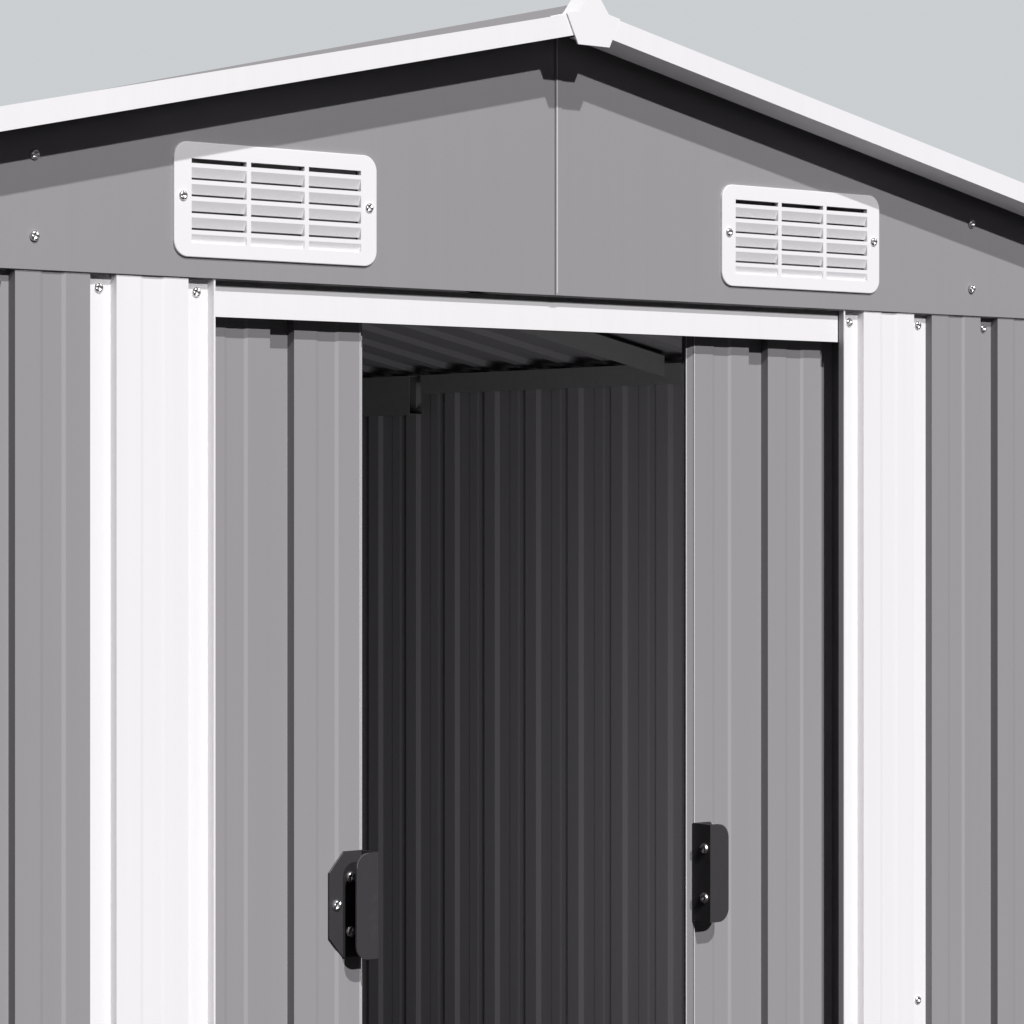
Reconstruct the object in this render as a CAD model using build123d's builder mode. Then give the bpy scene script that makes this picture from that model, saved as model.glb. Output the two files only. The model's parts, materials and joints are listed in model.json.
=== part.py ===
from build123d import *
import os
from math import atan2, ceil, cos, floor, hypot, sin

os.makedirs("parts", exist_ok=True)

# A gabled metal storage shed with two sliding doors. X runs to the right, the front faces -Y,
# and the origin is on the ground under the middle of the shed. All sizes are in millimetres.

# Overall sizes, over the raised faces of the wall sheets
wall_width = 2470.0
wall_depth = 2036.0
wall_height = 1478.0
ridge_rise = 267.0
gable_overhang = 61.5
eave_overhang = 43.0

# Ribbed sheet: deep grooves at each pitch, a shallow valley half way between them
sheet = 1.0
rib_pitch = 106.0
groove_floor = 25.4
groove_step = 1.3
rib_depth = 9.5
valley_floor = 19.0
valley_step = 4.0
valley_depth = 1.0
sheet_end_margin = 12.0

# Folded steel of the frame and of the smooth sheets
steel = 1.2
rail_reach = 30.0
rail_lip = 10.0
base_rail_height = 40.0
top_rail_height = 30.0
back_rail_height = 64.0
corner_rail_reach = 163.5
corner_rail_gap = 31.5
post_leg = 38.0

# Doorway, its white side panels and its header
doorway_groove_count = 4
jamb_lip = 2.0
jamb_return = 8.0
header_height = 28.0
header_drop = 6.0
header_end_gap = 0.3

# Sliding doors
door_setback = 28.0
door_return = 13.0
door_return_lip = 12.0
door_edge_bevel = 6.0
door_first_face = 84.2
door_groove_count = 4
left_door_rest = 214.9
right_door_rest = 209.4
door_bottom = 8.0
door_top_room = 6.5
strap_height = 40.0
strap_thickness = 3.0
strap_gap = 1.0
strap_inset = 4.0

# Door tracks and the plastic sliders in them
track_lip = 16.0
track_top_lip = 20.0
track_front_flange = 30.0
track_clearance = 5.0
track_rear_room = 6.0
track_tail = 2.0
slider_gap = 0.3
slider_width = 40.0
slider_inset = 60.0
slider_tongue = 3.0

# Door handles
handle_height = 103.0
handle_centre = 880.0
handle_inset = 4.0
handle_base = 40.0
handle_stand = 27.5
handle_grip = 26.0
handle_plate = 2.0
handle_chamfer_wide = 17.0
handle_chamfer_tall = 20.0
handle_grip_radius = 14.0
handle_outer_bend = 2.5
handle_inner_bend = 0.5

# Gables and their vents
gable_lap = 20.0
gable_tip = 4.0
gable_lift = 1.0
gable_hem = 8.0
gable_seam_gap = 0.4
gable_hem_gap = 0.5
vent_width = 232.0
vent_height = 107.0
vent_x = 341.0
vent_lift = 73.0
vent_corner = 15.0
vent_plate = 3.0
vent_edge = 1.0
vent_side_border = 19.0
vent_head_border = 15.4
vent_sill_border = 13.2
vent_mullion = 5.0
vent_columns = 3
vent_depth = 9.0
vent_sleeve = 2.5
vent_hole_gap = 0.5
slat_count = 5
slat_head_gap = 4.4
slat_pitch = 15.5
slat_nose = 4.0
slat_nose_depth = 1.5
slat_run = 4.5
slat_fall = 9.2
slat_thick = 2.0
slat_root = 1.0

# Roof, its trims and its caps
ridge_gap = 6.0
trim_height = 22.0
trim_drop = 7.0
trim_flange = 42.0
trim_top_flange = 24.0
eave_flange = 30.0
ridge_cap_reach = 75.0
ridge_crown_foot = 22.0
ridge_crown_top = 6.0
ridge_crown_rise = 22.5
end_cap_half_bottom = 20.3
end_cap_half_shoulder = 34.5
end_cap_drop = 21.0
end_cap_hood = 1.0
end_cap_crown_foot = 19.5
end_cap_crown_top = 5.0
end_cap_crown_rise = 31.0
end_cap_proud = 2.0
corner_cap_reach = 60.0
corner_cap = 2.0

# Roof frame
ridge_beam_width = 30.0
ridge_beam_height = 40.0
rafter_depth = 31.0
rafter_reach = 30.0
middle_rafter_place = 172.0

# Worked-out places
half_width = wall_width / 2
half_depth = wall_depth / 2
vent_z = wall_height + vent_lift
louvre_z = vent_z - (vent_head_border - vent_sill_border) / 2
skin = rib_depth + sheet
pitch_angle = atan2(ridge_rise, half_width)
roof_slope = ridge_rise / half_width
soffit_apex = wall_height + ridge_rise
sheet_end = half_width - skin - sheet
wall_sheet_height = wall_height - sheet
groove_half_top = groove_floor / 2 + groove_step
inner_groove = doorway_groove_count * rib_pitch
outer_groove = inner_groove + rib_pitch
doorway_half = inner_groove - groove_half_top - jamb_lip
jamb_depth = rib_depth - sheet
header_top = wall_height - header_drop
gable_foot = wall_height + gable_lift
door_back = door_setback + door_return
door_first_groove = door_first_face + groove_half_top
door_width = 2 * door_first_groove + (door_groove_count - 1) * rib_pitch
door_top = wall_height - steel - door_top_room
door_height = door_top - door_bottom
track_lip_front = door_setback - track_clearance
track_lip_rear = door_back + track_rear_room
track_rear = track_lip_rear + steel + track_tail
trim_low = -trim_drop * cos(pitch_angle)
trim_top = (trim_height - trim_drop) * cos(pitch_angle)
roof_top = trim_top - steel
roof_seat = roof_top - skin
eave_run = (half_width + eave_overhang) / cos(pitch_angle)
gable_y = half_depth + gable_overhang
rail_span = half_width - skin
rail_inner = half_width - skin - rail_reach
front_inner = -half_depth + track_rear
back_inner = half_depth - skin - rail_reach
sides = (("left", -1), ("right", 1))
ends = (("front", -1), ("back", 1))


def roof_plane(x, above=0.0):
    """Height over the distance x from the ridge of the plane through both wall heads."""
    return soffit_apex - roof_slope * abs(x) + above / cos(pitch_angle)


def folded(path, thickness):
    """Outline of a folded sheet: the path is one face, and the thickness lies to its left."""
    other = []
    for i, (x, y) in enumerate(path):
        normals = []
        for a, b in ((i - 1, i), (i, i + 1)):
            if a >= 0 and b < len(path):
                dx, dy = path[b][0] - path[a][0], path[b][1] - path[a][1]
                normals.append((-dy / hypot(dx, dy), dx / hypot(dx, dy)))
        (ax, ay), (bx, by) = normals[0], normals[-1]
        share = thickness / (1 + ax * bx + ay * by)
        other.append((x + (ax + bx) * share, y + (ay + by) * share))
    return path + other[::-1]


def ribbed_path(start, end, first_groove=0.0):
    """Outer face of a ribbed sheet: grooves at whole pitches from one, valleys half way."""
    path = [(start, 0.0)]
    half_pitch = rib_pitch / 2
    lowest = ceil((start - first_groove) / half_pitch)
    highest = floor((end - first_groove) / half_pitch)
    for k in range(lowest, highest + 1):
        centre = first_groove + k * half_pitch
        is_groove = k % 2 == 0
        half = (groove_floor if is_groove else valley_floor) / 2
        reach = half + (groove_step if is_groove else valley_step)
        deep = rib_depth if is_groove else valley_depth
        if start + sheet_end_margin <= centre - reach and centre + reach <= end - sheet_end_margin:
            path.append((centre - reach, 0.0))
            path.append((centre - half, deep))
            path.append((centre + half, deep))
            path.append((centre + reach, 0.0))
    return path + [(end, 0.0)]


def drawn_out(plane, outline, length):
    """An outline on a plane, drawn out along the plane's normal."""
    with BuildPart() as bar:
        with BuildSketch(plane):
            with BuildLine():
                Polyline(*outline, close=True)
            make_face()
        extrude(amount=length)
    return bar


def save(builder, name):
    """Labels a finished piece and writes it under its name."""
    builder.part.label = name
    export_step(builder.part, f"parts/{name}.step")


def save_together(builders, name):
    """Writes like pieces that don't touch as the solids of one node."""
    with BuildPart() as group:
        add([builder.part for builder in builders])
    save(group, name)


def front_plane(z):
    """Level plane at the front face: x to the right, y into the shed."""
    return Plane(origin=(0, -half_depth, z), x_dir=(1, 0, 0), z_dir=(0, 0, 1))


def wall_plane(side, z):
    """Level plane at the left (-1) or right (1) face: y into the shed."""
    return Plane(origin=(side * half_width, 0, z), x_dir=(0, side, 0), z_dir=(0, 0, 1))


def upright_plane(origin, inward):
    """Plane for a rail's section: x into the shed, y upwards."""
    return Plane(origin=origin, x_dir=inward, z_dir=(inward[1], -inward[0], 0))


def slope_plane(side, y, run=0.0):
    """Plane across one roof slope, at a run down from the ridge: y points down into the roof."""
    down = (side * cos(pitch_angle), 0, -sin(pitch_angle))
    origin = (down[0] * run, y, soffit_apex + down[2] * run)
    return Plane(origin=origin, x_dir=(0, -side, 0), z_dir=down)


# Ribbed wall sheets
for name, side in sides:
    foot = (side * (outer_groove - groove_floor / 2), rib_depth)
    toe = (side * (outer_groove + groove_floor / 2), rib_depth)
    shoulder = (side * (outer_groove + groove_half_top), 0.0)
    low, high = sorted((side * sheet_end, foot[0]))
    path = ribbed_path(low, high)
    if side < 0:
        path = path[:-1] + [shoulder, toe, foot]
    else:
        path = [foot, toe, shoulder] + path[1:]
    save(drawn_out(front_plane(sheet), folded(path, sheet), wall_sheet_height), f"front_wall_{name}")

    reach = half_depth - skin - sheet
    outline = folded(ribbed_path(-reach, reach), sheet)
    save(drawn_out(wall_plane(side, sheet), outline, wall_sheet_height), f"{name}_wall")

back_plane = Plane(origin=(0, half_depth, sheet), x_dir=(-1, 0, 0), z_dir=(0, 0, 1))
save(drawn_out(back_plane, folded(ribbed_path(-sheet_end, sheet_end), sheet), wall_sheet_height), "back_wall")

# White panels beside the doorway, lapped over the last groove of the wall sheets
valley_middle = (inner_groove + outer_groove) / 2
for name, side in sides:
    path = [
        (outer_groove + groove_floor / 2, jamb_depth),
        (outer_groove - groove_floor / 2, jamb_depth),
        (outer_groove - groove_half_top, 0.0),
        (valley_middle + valley_floor / 2 + valley_step, 0.0),
        (valley_middle + valley_floor / 2, valley_depth),
        (valley_middle - valley_floor / 2, valley_depth),
        (valley_middle - valley_floor / 2 - valley_step, 0.0),
        (inner_groove + groove_half_top, 0.0),
        (inner_groove + groove_floor / 2, jamb_depth),
        (inner_groove - groove_floor / 2, jamb_depth),
        (inner_groove - groove_half_top, 0.0),
        (doorway_half, 0.0),
        (doorway_half, jamb_return),
    ]
    outline = [(side * x, y) for x, y in folded(path, -sheet)]
    save(drawn_out(front_plane(sheet), outline, wall_sheet_height), f"door_jamb_{name}")

# Corner posts, folded round the outside of the wall sheets
pieces = []
for end_name, end in ends:
    for name, side in sides:
        corner = Plane(origin=(side * half_width, end * half_depth, 0))
        path = [(-post_leg, steel), (steel, steel), (steel, -post_leg)]
        outline = [(side * x, end * y) for x, y in folded(path, -steel)]
        pieces.append(drawn_out(corner, outline, wall_height))
save_together(pieces, "corner_posts")


# Rails of the frame, against the wall sheets
def channel(height):
    """Section of a base rail: web, two flanges and a lip under the upper one."""
    path = [
        (rail_reach, 0),
        (0, 0),
        (0, height),
        (rail_reach, height),
        (rail_reach, height - rail_lip),
    ]
    return folded(path, -steel)


def closed_rail(height):
    """Section of a top rail: a plain web inwards, two flanges and two lips against the wall."""
    path = [(0, rail_lip), (0, 0), (rail_reach, 0), (rail_reach, height), (0, height), (0, height - rail_lip)]
    return folded(path, steel)


corner_rail_end = back_inner - corner_rail_reach
for name, section, height, low, high in (
    ("side_base_rails", channel(base_rail_height), base_rail_height, front_inner, back_inner),
    (
        "side_top_rails",
        closed_rail(top_rail_height),
        top_rail_height,
        front_inner + rail_reach,
        corner_rail_end - corner_rail_gap,
    ),
    ("back_corner_rails", closed_rail(back_rail_height), back_rail_height, corner_rail_end, back_inner),
):
    z = 0 if name == "side_base_rails" else wall_height - height
    left_start = upright_plane((-rail_span, high, z), (1, 0, 0))
    right_start = upright_plane((rail_span, low, z), (-1, 0, 0))
    save_together([drawn_out(start, section, high - low) for start in (left_start, right_start)], name)

back_foot = upright_plane((rail_span, half_depth - skin, 0), (0, -1, 0))
save(drawn_out(back_foot, channel(base_rail_height), 2 * rail_span), "back_base_rail")
back_head = upright_plane((rail_span, half_depth - skin, wall_height - back_rail_height), (0, -1, 0))
save(drawn_out(back_head, closed_rail(back_rail_height), 2 * rail_span), "back_top_rail")
front_head = upright_plane((-rail_span, front_inner, wall_height - top_rail_height), (0, 1, 0))
save(drawn_out(front_head, closed_rail(top_rail_height), 2 * rail_span), "front_top_rail")


# Door tracks: a plate with a front flange and two lips that the doors run between
def track_section(flange, lip):
    """Section of a track lying on the ground: x into the shed, y upwards."""
    with BuildSketch() as section:
        with BuildLine():
            Polyline((skin, 0), (track_rear, 0), (track_rear, steel), (skin, steel), close=True)
        make_face()
        for x, height in ((skin, flange), (track_lip_front - steel, lip), (track_lip_rear, lip)):
            with BuildLine():
                Polyline((x, 0), (x + steel, 0), (x + steel, height), (x, height), close=True)
            make_face()
    return section


with BuildPart() as bottom_track:
    with BuildSketch(upright_plane((-rail_span, -half_depth, 0), (0, 1, 0))):
        add(track_section(track_front_flange, track_lip).sketch)
    extrude(amount=2 * rail_span)
save(bottom_track, "door_track_bottom")

with BuildPart() as top_track:
    with BuildSketch(upright_plane((-rail_span, -half_depth, wall_height), (0, 1, 0))):
        add(mirror(track_section(track_front_flange, track_top_lip).sketch, Plane.XZ))
    extrude(amount=2 * rail_span)
save(top_track, "door_track_top")

# White header strip across the doorway, on the front flange of the upper track
header_half = doorway_half - header_end_gap
path = [(skin, 0), (skin, header_height)]
header_start = upright_plane((-header_half, -half_depth, header_top - header_height), (0, 1, 0))
save(drawn_out(header_start, folded(path, steel), 2 * header_half), "door_header")

# Sliding doors: sheet, straps, sliders and handle, from the leading edge outwards
for name, side, rest in (("left", -1, left_door_rest), ("right", 1, right_door_rest)):
    def door_plane(z):
        """Level plane at the leading edge at rest: x away from it, y into the shed."""
        return Plane(origin=(side * rest, -half_depth, z), x_dir=(1, 0, 0), z_dir=(0, 0, 1))

    def outwards(points):
        """Points measured from the leading edge, turned for this door."""
        return [(side * x, y) for x, y in points]

    ribs = ribbed_path(door_edge_bevel, door_width - door_edge_bevel, door_first_groove)
    face = [(x, door_setback + y) for x, y in ribs]
    bevel_back = door_setback + door_edge_bevel
    path = [(door_return_lip, door_back), (0, door_back), (0, bevel_back)] + face
    path += [(door_width, bevel_back), (door_width, door_back), (door_width - door_return_lip, door_back)]
    outline = outwards(folded(path, sheet))
    save(drawn_out(door_plane(door_bottom), outline, door_height), f"{name}_door_sheet")

    strap_start = door_return_lip + strap_gap
    strap_end = door_width - strap_start
    strap_front = door_setback + skin
    strap_back = strap_front + strap_thickness
    with BuildPart() as straps:
        for z in (door_bottom + strap_inset, door_top - strap_inset - strap_height):
            with BuildSketch(door_plane(z)):
                with BuildLine():
                    corners = ((strap_start, strap_front), (strap_end, strap_front))
                    corners += ((strap_end, strap_back), (strap_start, strap_back))
                    Polyline(*outwards(corners), close=True)
                make_face()
            extrude(amount=strap_height)
    save(straps, f"{name}_door_straps")

    shoe_front = track_lip_front + slider_gap
    shoe_back = track_lip_rear - slider_gap
    tongue_back = strap_back + slider_tongue
    foot_low = steel + slider_gap
    head_high = wall_height - steel - slider_gap
    with BuildPart() as sliders:
        for x in (slider_inset, door_width - slider_inset - slider_width):
            for low, high, front, back in (
                (foot_low, door_bottom - slider_gap, shoe_front, shoe_back),
                (door_bottom - slider_gap, door_bottom + strap_height, strap_back, tongue_back),
                (door_top + slider_gap, head_high, shoe_front, shoe_back),
                (door_top - strap_height, door_top + slider_gap, strap_back, tongue_back),
            ):
                with BuildSketch(door_plane(low)):
                    with BuildLine():
                        corners = ((x, front), (x + slider_width, front))
                        corners += ((x + slider_width, back), (x, back))
                        Polyline(*outwards(corners), close=True)
                    make_face()
                extrude(amount=high - low)
    save(sliders, f"{name}_door_sliders")

    handle_low = handle_centre - handle_height / 2
    web_front = door_setback - handle_stand
    path = [
        (handle_inset + handle_base, door_setback - handle_plate),
        (handle_inset + handle_plate, door_setback - handle_plate),
        (handle_inset + handle_plate, web_front + handle_plate),
        (handle_inset + handle_grip, web_front + handle_plate),
    ]
    with BuildPart() as handle:
        with BuildSketch(door_plane(handle_low)):
            with BuildLine():
                Polyline(*outwards(folded(path, -handle_plate)), close=True)
            face = make_face()
            folds = face.vertices().group_by(Axis.X)
            fillet(folds[1 if side > 0 else -2], handle_inner_bend)
            folds = face.vertices().group_by(Axis.X)
            fillet(folds[0 if side > 0 else -1], handle_outer_bend)
        extrude(amount=handle_height)
        corners = handle.edges().filter_by(Axis.Y).group_by(Axis.X)
        fillet(corners[-2 if side > 0 else 1], handle_grip_radius)
        corners = handle.edges().filter_by(Axis.Y).group_by(Axis.X)
        base = corners[-1 if side > 0 else 0]
        chamfer(base, length=handle_chamfer_wide, length2=handle_chamfer_tall)
    save(handle, f"{name}_door_handle")


# Gables: two smooth sheets at each end, folded double at the foot and at the lapped seam in the
# middle, and cut out behind the vents
def gable_outline(start, end):
    """Outline of a gable sheet between two places across the gable."""
    breaks = [x for x in sorted({start, 0.0, end}, reverse=True) if start <= x <= end]
    return [(start, gable_foot), (end, gable_foot)] + [(x, roof_plane(x, roof_seat) - gable_lift) for x in breaks]


def hem(low, high):
    """Corners of the folded edge at the foot of a gable sheet."""
    return [(low, gable_foot), (high, gable_foot), (high, gable_foot + gable_hem), (low, gable_foot + gable_hem)]


gable_half = (roof_plane(0, roof_seat) - gable_foot - gable_lift - gable_tip) / roof_slope
hem_half = gable_half - gable_hem / roof_slope
louvre_width = vent_width - 2 * vent_side_border
louvre_height = vent_height - vent_head_border - vent_sill_border
hole_margin = 2 * (vent_sleeve + vent_hole_gap)
for end_name, end in ends:
    for name, side in sides:
        face = Plane(origin=(0, end * (half_depth + steel), 0), x_dir=(-end, 0, 0), z_dir=(0, end, 0))
        hand = side * -end
        half_lap = gable_lap / 2
        if hand < 0:
            span = (-gable_half, -gable_seam_gap)
            behind = [hem(-hem_half, -half_lap - gable_hem_gap)]
        else:
            span = (0.0, gable_half)
            behind = [gable_outline(-half_lap, half_lap), hem(half_lap, hem_half)]
        with BuildPart() as gable:
            with BuildSketch(face):
                with BuildLine():
                    Polyline(*gable_outline(*span), close=True)
                make_face()
                with Locations((hand * vent_x, louvre_z)):
                    Rectangle(louvre_width + hole_margin, louvre_height + hole_margin, mode=Mode.SUBTRACT)
            extrude(amount=steel)
            for outline in behind:
                with BuildSketch(face):
                    with BuildLine():
                        Polyline(*outline, close=True)
                    make_face()
                extrude(amount=-steel)
            if hand > 0:
                with BuildSketch(face.offset(steel)):
                    with BuildLine():
                        Polyline(*gable_outline(0.0, gable_hem), close=True)
                    make_face()
                extrude(amount=steel)
        save(gable, f"{end_name}_gable_{name}")

# Vents: a rounded plate and a sleeve through the gable, with three windows of falling slats
column_width = (louvre_width - (vent_columns - 1) * vent_mullion) / vent_columns
for end_name, end in ends:
    face_y = end * (half_depth + 2 * steel)
    vents = []
    for name, side in sides:
        plate = Plane(origin=(side * vent_x, face_y, vent_z), x_dir=(-end, 0, 0), z_dir=(0, end, 0))
        middle = Plane(origin=(side * vent_x, face_y, louvre_z), x_dir=plate.x_dir, z_dir=plate.z_dir)
        slat_start = Plane(
            origin=(side * vent_x - louvre_width / 2 - slat_root, face_y + end * vent_plate, louvre_z),
            x_dir=(0, -end, 0),
            z_dir=(1, 0, 0),
        )
        with BuildPart() as vent:
            with BuildSketch(plate):
                RectangleRounded(vent_width, vent_height, vent_corner)
            extrude(amount=vent_plate)
            fillet(vent.faces().sort_by(Axis.Y)[-1 if end > 0 else 0].edges(), vent_edge)
            with BuildSketch(middle):
                Rectangle(louvre_width + 2 * vent_sleeve, louvre_height + 2 * vent_sleeve)
            extrude(amount=vent_plate - vent_depth)
            with BuildSketch(middle.offset(vent_plate)):
                with GridLocations(column_width + vent_mullion, 0, vent_columns, 1):
                    Rectangle(column_width, louvre_height)
            extrude(amount=-vent_depth, mode=Mode.SUBTRACT)
            with BuildSketch(slat_start):
                for row in range(slat_count):
                    nose = louvre_height / 2 - slat_head_gap - row * slat_pitch
                    tail = nose - slat_nose - slat_fall
                    points = [
                        (0, nose),
                        (0, nose - slat_nose),
                        (slat_run, tail),
                        (slat_run, tail + slat_thick),
                        (slat_nose_depth, nose),
                    ]
                    with BuildLine():
                        Polyline(*[(y, -end * z) for y, z in points], close=True)
                    make_face()
                with Locations((vent_depth / 2, 0)):
                    Rectangle(vent_depth, louvre_height + 2 * slat_root, mode=Mode.INTERSECT)
            extrude(amount=louvre_width + 2 * slat_root)
        vents.append(vent)
    if end_name == "back":
        save_together(vents, "back_vents")
    else:
        save(vents[0], "front_vent_left")
        save(vents[1], "front_vent_right")

# Roof sheets, their ribs running down the slopes
roof_reach = gable_y - 2 * steel
for name, side in sides:
    path = [(y, h - roof_top) for y, h in ribbed_path(-roof_reach, roof_reach)]
    run = eave_run - ridge_gap - 2 * steel
    save(drawn_out(slope_plane(side, 0, ridge_gap), folded(path, sheet), run), f"roof_{name}")


def along_roof(run, above):
    """Point in the plane of the gable, a run down the right slope and a height off it."""
    x = run * cos(pitch_angle) + above * sin(pitch_angle)
    return x, soffit_apex - run * sin(pitch_angle) + above * cos(pitch_angle)


def mirrored(points):
    """A path from the middle outwards, repeated on the left."""
    return [(-x, z) for x, z in points[::-1]] + points


def gable_section(y):
    """Upright plane across the shed, drawn out towards the front."""
    return Plane(origin=(0, y, 0), x_dir=(1, 0, 0), z_dir=(0, -1, 0))


# Ridge cap: flanges on both roof sheets and a raised crown between them
ridge_crest = soffit_apex + ridge_crown_rise - steel
path = mirrored([
    (ridge_crown_top, ridge_crest),
    (ridge_crown_foot, roof_plane(ridge_crown_foot, roof_top)),
    along_roof(ridge_cap_reach, roof_top),
])
cap_reach = gable_y - trim_top_flange
save(drawn_out(gable_section(cap_reach), folded(path, steel), 2 * cap_reach), "ridge_cap")

# Rake trims: a face, a deep flange under the roof and a short one on it
for end_name, end in ends:
    for name, side in sides:
        path = [(trim_flange, trim_low), (0, trim_low), (0, trim_top), (trim_top_flange, trim_top)]
        outline = [(side * end * q, -n) for q, n in folded(path, -steel)]
        plane = slope_plane(side, end * gable_y, ridge_gap)
        save(drawn_out(plane, outline, eave_run - ridge_gap), f"{end_name}_rake_trim_{name}")

# Eave trims: the same fold along the lower edge of each roof sheet
eave_span = gable_y - trim_flange
pieces = []
for name, side in sides:
    path = [
        along_roof(eave_run - eave_flange, trim_low),
        along_roof(eave_run, trim_low),
        along_roof(eave_run, trim_top),
        along_roof(eave_run - eave_flange, trim_top),
    ]
    outline = [(side * x, z) for x, z in folded(path, steel)]
    pieces.append(drawn_out(gable_section(eave_span), outline, 2 * eave_span))
save_together(pieces, "eave_trims")

# Corner caps over the meeting of rake and eave trims
low, high = trim_low - corner_cap, trim_top + corner_cap
cap_path = [(corner_cap_reach, low), (-corner_cap, low), (-corner_cap, high), (corner_cap_reach, high)]
with BuildPart() as corner_caps:
    for end_name, end in ends:
        for name, side in sides:
            for run, outline, length in (
                (eave_run - corner_cap_reach, folded(cap_path, -corner_cap), corner_cap_reach),
                (eave_run, cap_path, corner_cap),
            ):
                with BuildSketch(slope_plane(side, end * gable_y, run)):
                    with BuildLine():
                        Polyline(*[(side * end * q, -n) for q, n in outline], close=True)
                    make_face()
                extrude(amount=length)
save(corner_caps, "roof_corner_caps")

# Ridge end caps: a face over the meeting of the rake trims, and a hood up to the ridge cap
shoulder = end_cap_half_shoulder
crown = [
    (end_cap_crown_top, soffit_apex + end_cap_crown_rise),
    (end_cap_crown_foot, roof_plane(end_cap_crown_foot, trim_top) + end_cap_hood),
    (shoulder, roof_plane(shoulder, trim_top) + end_cap_hood),
]
tab = (end_cap_half_bottom, soffit_apex - end_cap_drop)
seat = [(shoulder, roof_plane(shoulder, trim_top)), (0, roof_plane(0, trim_top))]
with BuildPart() as end_caps:
    for end_name, end in ends:
        face = Plane(origin=(0, end * gable_y, 0), x_dir=(-end, 0, 0), z_dir=(0, end, 0))
        with BuildSketch(face):
            with BuildLine():
                Polyline(*mirrored(crown + [tab]), close=True)
            make_face()
        extrude(amount=end_cap_proud)
        with BuildSketch(face):
            with BuildLine():
                Polyline(*mirrored(crown), *seat, (-shoulder, seat[0][1]), close=True)
            make_face()
        extrude(amount=-trim_top_flange)
save(end_caps, "ridge_end_caps")

# Ridge beam between the gables, its upper edges under the roof sheets
beam_half = ridge_beam_width / 2
beam_top = roof_plane(beam_half, roof_seat)
path = [
    (-beam_half, beam_top - ridge_beam_height),
    (-beam_half, beam_top),
    (beam_half, beam_top),
    (beam_half, beam_top - ridge_beam_height),
]
beam_end = half_depth
save(drawn_out(gable_section(beam_end), folded(path, -steel), 2 * beam_end), "ridge_beam")


# Rafters: channels from the ridge beam down to the side rails
def rafter_face(depth, floor_z):
    """Outline of a rafter's web or flange, a depth below the roof, cut off level at floor_z."""
    start, end = beam_half, rail_inner
    low = roof_seat - depth
    points = [(end, roof_plane(end, roof_seat)), (start, roof_plane(start, roof_seat))]
    points.append((start, roof_plane(start, low)))
    corner = (roof_plane(0, low) - floor_z) / roof_slope
    if start < corner < end:
        points.append((corner, floor_z))
    points.append((end, max(roof_plane(end, low), floor_z)))
    return points


def rafter_pieces(y_web, inward, floor_z):
    """A left and a right rafter, with the web at y_web and the flanges inwards of it."""
    pair = []
    for side in (-1, 1):
        with BuildPart() as rafter:
            for depth, reach in ((rafter_depth, steel), (steel, rafter_reach)):
                outline = [(side * x, z) for x, z in rafter_face(depth, floor_z)]
                with BuildSketch(gable_section(y_web)):
                    with BuildLine():
                        Polyline(*outline, close=True)
                    make_face()
                extrude(amount=-inward * reach)
        pair.append(rafter)
    return pair


pieces = []
for end_name, end in ends:
    pieces += rafter_pieces(end * (half_depth - steel), -end, wall_height)
save_together(pieces, "gable_rafters")

pieces = []
for end_name, end in ends:
    pieces += rafter_pieces(end * middle_rafter_place, end, 0)
save_together(pieces, "middle_rafters")
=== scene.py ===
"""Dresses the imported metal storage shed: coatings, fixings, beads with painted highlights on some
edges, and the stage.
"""

import json
import random
from math import atan2, cos, pi, radians, sin, tau

import bmesh
import bpy
from bpy.props import FloatProperty, FloatVectorProperty, PointerProperty
from mathutils import Matrix, Vector


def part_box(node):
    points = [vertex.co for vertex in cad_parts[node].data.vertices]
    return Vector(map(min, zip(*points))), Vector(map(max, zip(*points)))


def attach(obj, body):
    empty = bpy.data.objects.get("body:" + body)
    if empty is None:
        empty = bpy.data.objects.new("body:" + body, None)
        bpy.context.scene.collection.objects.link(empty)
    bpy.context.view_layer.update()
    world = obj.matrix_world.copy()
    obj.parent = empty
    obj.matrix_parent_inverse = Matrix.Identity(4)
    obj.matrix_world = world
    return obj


bl_info = {
    "name": "Metal storage shed dressing",
    "version": (1, 0, 0),
    "blender": (4, 5, 0),
    "location": "3D View > Sidebar > Shed",
    "description": "Coatings, fixings and stage for a gabled metal storage shed",
    "category": "Object",
}

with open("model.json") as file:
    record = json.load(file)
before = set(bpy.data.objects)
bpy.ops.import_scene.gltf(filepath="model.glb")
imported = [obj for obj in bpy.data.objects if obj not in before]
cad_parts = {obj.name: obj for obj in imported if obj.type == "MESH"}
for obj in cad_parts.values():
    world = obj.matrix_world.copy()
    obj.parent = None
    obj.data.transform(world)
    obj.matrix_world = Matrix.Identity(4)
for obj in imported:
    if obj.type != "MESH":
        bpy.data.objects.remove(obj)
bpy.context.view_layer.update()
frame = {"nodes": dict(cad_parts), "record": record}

# Places taken from the frame
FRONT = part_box("front_wall_right")[0].y
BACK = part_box("back_wall")[1].y
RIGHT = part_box("right_wall")[1].x
WALL_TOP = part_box("back_wall")[1].z
DOORWAY_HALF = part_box("door_jamb_right")[0].x

# The sheets' ribs and folds, as in the part's source
RIB_PITCH = 0.106
RIB_DEPTH = 0.0095
GROOVE_HALF = 0.0127
GROOVE_STEP = 0.0013
VALLEY_HALF = 0.0095
VALLEY_STEP = 0.004
JAMB_DEPTH = 0.0085
SHEET = 0.001
STEEL = 0.0012
RAFTER_FLANGE = 0.030
DOOR_EDGE_BEVEL = 0.006
DOOR_FIRST_FACE = 0.0842
DOOR_FIRST_GROOVE = DOOR_FIRST_FACE + GROOVE_HALF + GROOVE_STEP

# Roof slope, and the heights of the trims and the sheets over its underside
RIDGE_RISE = 0.267
PITCH = atan2(RIDGE_RISE, RIGHT)
APEX = WALL_TOP + RIDGE_RISE
TRIM_RISE = 0.015
TRIM_TOP = TRIM_RISE * cos(PITCH)
ROOF_TOP = TRIM_TOP - STEEL
ROOF_PAN = ROOF_TOP - RIB_DEPTH
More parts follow.
